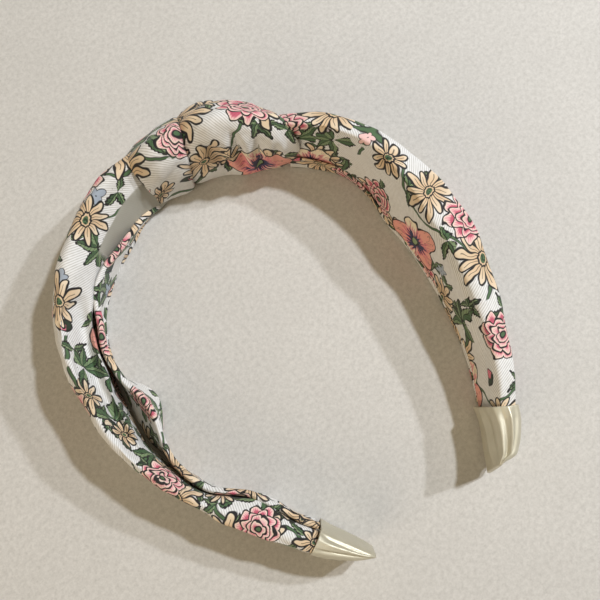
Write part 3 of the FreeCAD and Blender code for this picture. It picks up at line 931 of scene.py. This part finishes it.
def knot_loop(name, sections, left, right, folds, seed):
    """A puffed loop of cloth round the band, rolled in at both edges and open at both ends."""
    share = 0.5 - 0.5 * np.cos(np.linspace(0, math.pi, 71))
    outer = read_off(sections, share)
    hub = outer.mean(axis=1, keepdims=True)

    # Near its edges the loop is drawn in to 0.84 of its size. Its inner layer is 0.8 of the outer.
    edge = np.clip(np.minimum(share, 1 - share) / 0.09, 0, 1)
    outer = hub + (outer - hub) * (0.84 + 0.16 * np.sqrt(1 - (1 - edge) ** 2))[:, None, None]
    inner = (hub + (outer - hub) * 0.8)[::-1][INNER_ROWS]
    outer, inner = rounded(outer, LOOP_STEPS), rounded(inner, LOOP_STEPS)
    sides = (np.array([[(v, 0) for v in side]], float) for side in (left, right))
    starts, ends = (rounded(side, LOOP_STEPS)[..., 0] for side in sides)
    places = starts + (ends - starts) * share[:, None]
    places = np.concatenate([places, places[::-1][INNER_ROWS]])
    loops = np.concatenate([outer, inner])
    across = girth(loops, 3 * LOOP_STEPS)
    grid = laid_out(places, loops)
    d, a = places, across[:, :-1]
    move = ripple(d, a, seed, 14, 0.3) + ripple(d, a, seed + 1, 6, 0.08)
    outside = (np.arange(len(grid)) < len(outer))[:, None] * np.ones_like(a)
    grid = pushed(grid, creased(d, a, move, folds) * outside, fade=5, ring=True)
    down = np.concatenate([places, places[:, :1]], axis=1) + CUT_FROM[name]
    # The inner layer shows the unprinted back, greyed as painted shade.
    return tube(name, grid, down, across, printed, 1 - outside, ring=True)


LOBE_FOLDS = (
    ((12, -2), (2, 8), 1.5, -0.5),
    ((12, -6), (-2, -2), 1.5, 0.5),
    ((10, -12), (-3, -18), 1.6, -0.5),
    ((11, -16), (0, -26), 1.5, 0.4),
)
WRAP_FOLDS = (
    ((14, -3), (32, 8), 1.6, -0.6),
    ((15, -4), (42, 1), 2.2, 0.5),
    ((16, -8), (30, -16), 1.8, -0.7),
    ((21, -9), (27, -30), 1.9, -1.8),
    ((27, -8), (31, -30), 1.5, 1.4),
    ((31, -5), (34, -30), 1.4, -1.9),
    ((35, -8), (37, -30), 1.5, 1.4),
    ((40, -7), (40, -30), 1.5, -1.8),
    ((45, -4), (44, -26), 1.6, 1.2),
    ((46, -2), (51, -20), 1.8, 0.8),
    ((16, 4), (30, 18), 1.6, -0.8),
)

# ---------------- the satin caps

CAP_STEPS = 12
CAP_CORNERS = 8

# share of the cap's length, offset of its inner and outer side, height of its top
LEFT_CAP = (
    (0.0, -3.0, 7.0, 20.2),
    (0.12, -2.7, 6.4, 20.2),
    (0.5, -2.7, 4.1, 19.8),
    (0.75, -2.6, 2.0, 19.4),
    (0.9, -2.5, 0.4, 19.0),
    (1.0, -2.2, -0.8, 18.2),
)
RIGHT_CAP = (
    (0.0, -3.0, 9.0, 20.4),
    (0.15, -2.2, 8.9, 20.5),
    (0.4, -1.6, 8.1, 20.6),
    (0.62, -1.6, 6.9, 20.7),
    (0.8, -1.5, 5.0, 20.8),
    (0.9, -1.4, 2.0, 20.8),
    (1.0, -1.3, 0.1, 20.2),
)


# column, its drift along the cap, width and rise
LEFT_PLEATS = (
    (2.2, 0.5, 0.16, -0.7),
    (2.75, 0.25, 0.18, 0.5),
    (3.5, -0.2, 0.12, -0.8),
    (4.3, -0.5, 0.2, 0.4),
)
RIGHT_PLEATS = (
    (0.9, 0.5, 0.13, 0.7),
    (1.3, 0.6, 0.15, -0.6),
    (2.2, 0.45, 0.12, 0.5),
    (2.65, 0.3, 0.15, -0.7),
    (3.15, 0.1, 0.10, 1.0),
    (3.6, -0.1, 0.16, -0.7),
    (4.5, -0.5, 0.2, 0.4),
)


def cap(name, side, mouth, length, rows, pleats, nose=0.0):
    """A tube of satin drawn in to a pinched tip, whose foot may run ahead of its top by nose."""
    share = np.linspace(0, 1, 61)
    loops = []
    for t, (inner, outer, top) in zip(share, read_off(rows, share)):
        middle, half = (inner + outer) / 2, (outer - inner) / 2
        base = 0.35 + 2.2 * t**1.6
        loops.append(
            (
                (middle - half, base + 2.2),
                (middle - half * 1.02, base + 0.45 * (top - base)),
                (middle - half * 0.82, top - 2.4),
                (middle - half * 0.1, top),
                (middle + half * 0.72, top - 2.0),
                (middle + half, base + 0.5 * (top - base)),
                (middle + half * 0.94, base + 2.2),
                (middle, base),
            )
        )
    loops = rounded(np.array(loops), CAP_STEPS)
    places = side * (mouth + length * share)
    across = girth(loops, 3 * CAP_STEPS)
    grid = laid_out(places, loops)
    d = (share * length)[:, None]
    turn = np.arange(CAP_CORNERS * CAP_STEPS)[None, :] / CAP_STEPS
    grown = np.clip(share[:, None] * 4 + 0.25, 0, 1)
    move = 0
    for column, drift, width, rise in pleats:
        line = column + drift * share[:, None]
        move = move + rise * np.exp(-(((turn - line) / width) ** 2)) * grown
    grid = pushed(grid, move * np.clip((length + 0.6 - d) / 6, 0.15, 1), fade=3)
    ahead = grid[-1].mean(axis=0) - grid[-10].mean(axis=0)
    aside = grid[0, 5 * CAP_STEPS] - grid[0, CAP_STEPS]
    low = 1 - grid[..., 2:] / grid[..., 2].max()
    lean = (2 * low - 1) * ahead / np.linalg.norm(ahead)
    lean = lean + (1.4 * low - 0.4) * aside / np.linalg.norm(aside)
    grid = grid + nose * share[:, None, None] ** 2.2 * lean * (1, 1, 0)

    # The satin is turned in at the mouth.
    hem = grid[:1] - outward(grid)[:1] * 0.55
    deep = hem + (grid[2:3] - grid[0:1]) * 1.6
    grid = np.concatenate([deep, hem, grid])
    across = np.concatenate([across[:1], across[:1], across])
    places = np.concatenate([[places[0]] * 2, places])
    return tube(name, grid, places, across, champagne)


# ---------------- dressing the frame

left_sleeve = left_cover()
left_strip = left_lining()
right_sleeve = right_cover()
right_strip = right_lining()
core = crown_sleeve()
left_hoop = hoop_strip("left_hoop", LEFT_HOOP)
right_hoop = hoop_strip("right_hoop", RIGHT_HOOP)
lobe = knot_loop("knot_left_loop", LOBE, LOBE_LEFT, LOBE_RIGHT, LOBE_FOLDS, 41)
wrap = knot_loop("knot_wide_loop", WRAP, WRAP_LEFT, WRAP_RIGHT, WRAP_FOLDS, 51)
left_cap = cap("left_satin_cap", -1, 168.5, 19.2, LEFT_CAP, LEFT_PLEATS)
right_cap = cap("right_satin_cap", 1, 175.5, 21.0, RIGHT_CAP, RIGHT_PLEATS, nose=3.5)

band_point(-3)
band_point(-30)
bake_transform(left_sleeve)
band_point(-3)
band_point(-30)
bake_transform(left_strip)
band_point(50)
band_point(78)
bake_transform(right_sleeve)
band_point(50)
band_point(78)
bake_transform(right_strip)
band_point(-3)
band_point(-30)
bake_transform(left_hoop)
band_point(50)
band_point(78)
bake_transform(right_hoop)
for piece in (core, lobe, wrap):
    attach(piece, "crown")
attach(left_cap, "left_arm")
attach(right_cap, "right_arm")

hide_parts("cover_left")
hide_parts("lining_left")
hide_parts("cover_right")
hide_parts("lining_right")
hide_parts("cover_crown", "lining_crown")
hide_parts("knot_lobe")
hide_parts("knot_wrap")
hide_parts("cap_left")
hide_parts("cap_right")
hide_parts("hoop_left_arm")
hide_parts("hoop_right_arm")

# ---------------- floor, light and camera

FLOOR_HALF = 3
WALLS, WALLS_STRENGTH = (1.0, 0.84, 0.55, 1), 0.10
BACKDROP, BACKDROP_STRENGTH = (1.0, 0.96, 0.90, 1), 0.62


def stone_floor():
    self = Finish("pale_floor")
    place = self.node("ShaderNodeTexCoord", out=3)
    cloud = self.noise(place, 0.05, detail=7.0, rough=0.72)
    grain = self.noise(place, 0.0016, detail=3.0, rough=0.8)
    colour = self.mix(cloud, tint(206, 203, 197), tint(228, 225, 219))
    colour = self.mix((grain - 0.56).within(0.4) * 0.7, colour, tint(182, 179, 172))
    bump = self.node("ShaderNodeBump", {"Strength": 0.1, "Distance": 0.0003, "Height": grain})
    material = self.close(colour, 0.62 + grain * 0.1, bump, Specular_IOR_Level=0.25)

    # From 0.4 to 1.6 m out, the camera sees the floor fade into the backdrop.
    surface = Wire(self, self.tree.nodes["Principled BSDF"].outputs[0])
    camera, glossy = self.node("ShaderNodeLightPath", out=("Is Camera Ray", "Is Glossy Ray"))
    far = (self.vector("LENGTH", place, out=1) - 1.0).within(1.2) * camera.math("MAXIMUM", glossy)
    glow = self.node("ShaderNodeEmission", {"Color": BACKDROP, "Strength": BACKDROP_STRENGTH})
    mixed = self.node("ShaderNodeMixShader", {0: far, 1: surface, 2: glow})
    self.tree.links.new(mixed.socket, self.tree.nodes["Material Output"].inputs[0])
    return material


floor_mesh = bpy.data.meshes.new("floor")
corners = [(x * FLOOR_HALF, y * FLOOR_HALF, 0) for x, y in ((-1, -1), (1, -1), (1, 1), (-1, 1))]
floor_mesh.from_pydata(corners, [], [(0, 1, 2, 3)])
floor_mesh.materials.append(stone_floor())
floor = placed("floor", floor_mesh)

AIM = Vector((CROWN_CENTRE[0] + 12.2, CROWN_CENTRE[1] - 4.0, 0)) * MM
VIEW_RIGHT = Vector((0.7604, -0.6494, 0))
VIEW_UP = Vector((0.6494, 0.7604, 0))
VIEW_TILT = math.radians(9.5)
VIEW_DISTANCE = 222 * MM


def lamp(name, place, size, power, colour):
    """A round soft lamp at a place in metres from the aim point, facing it."""
    light = bpy.data.lights.new(name, "AREA")
    light.shape, light.size, light.energy, light.color = "DISK", size, power, colour
    holder = placed(name, light)
    holder.location = AIM + Vector(place)
    holder.rotation_euler = Vector(place).to_track_quat("Z", "Y").to_euler()


lamp("window_lamp", (0.54, -0.03, 0.76), 0.05, 5.1, (0.90, 0.94, 1.0))
lamp("side_lamp", (1.32, -0.27, 1.10), 0.07, 11.2, (0.90, 0.93, 1.0))
lamp("ceiling_lamp", (0.0, 0.1, 1.4), 1.6, 2.2, (1.0, 0.84, 0.55))
lamp("fill_lamp", (-1.0, -0.18, 0.58), 1.0, 5.0, (1.0, 0.83, 0.62))

world = bpy.data.worlds.new("room")
world.use_nodes = True
room = world.node_tree
walls = room.nodes["Background"]
backdrop = room.nodes.new("ShaderNodeBackground")
for background, colour, strength in (
    (walls, WALLS, WALLS_STRENGTH),
    (backdrop, BACKDROP, BACKDROP_STRENGTH),
):
    background.inputs["Color"].default_value = colour
    background.inputs["Strength"].default_value = strength

# The camera and reflections see the backdrop; all else is lit by the walls.
ray = room.nodes.new("ShaderNodeLightPath")
seen = room.nodes.new("ShaderNodeMath")
seen.operation = "MAXIMUM"
choose = room.nodes.new("ShaderNodeMixShader")
for source, target in (
    (ray.outputs["Is Camera Ray"], seen.inputs[0]),
    (ray.outputs["Is Glossy Ray"], seen.inputs[1]),
    (seen.outputs[0], choose.inputs[0]),
    (walls.outputs[0], choose.inputs[1]),
    (backdrop.outputs[0], choose.inputs[2]),
    (choose.outputs[0], room.nodes["World Output"].inputs["Surface"]),
):
    room.links.new(source, target)
bpy.context.scene.world = world
bpy.context.scene.view_settings.view_transform = "Standard"

lens = bpy.data.cameras.new("camera")
lens.lens, lens.sensor_width = 36.0, 36.0
lens.clip_start, lens.clip_end = 0.01, 10
camera = placed("camera", lens)
back = VIEW_UP * -math.sin(VIEW_TILT) + Vector((0, 0, math.cos(VIEW_TILT)))
top = VIEW_UP * math.cos(VIEW_TILT) + Vector((0, 0, math.sin(VIEW_TILT)))
pose = Matrix((VIEW_RIGHT, top, back)).transposed().to_4x4()
pose.translation = AIM + back * VIEW_DISTANCE
camera.matrix_world = pose
bpy.context.scene.camera = camera
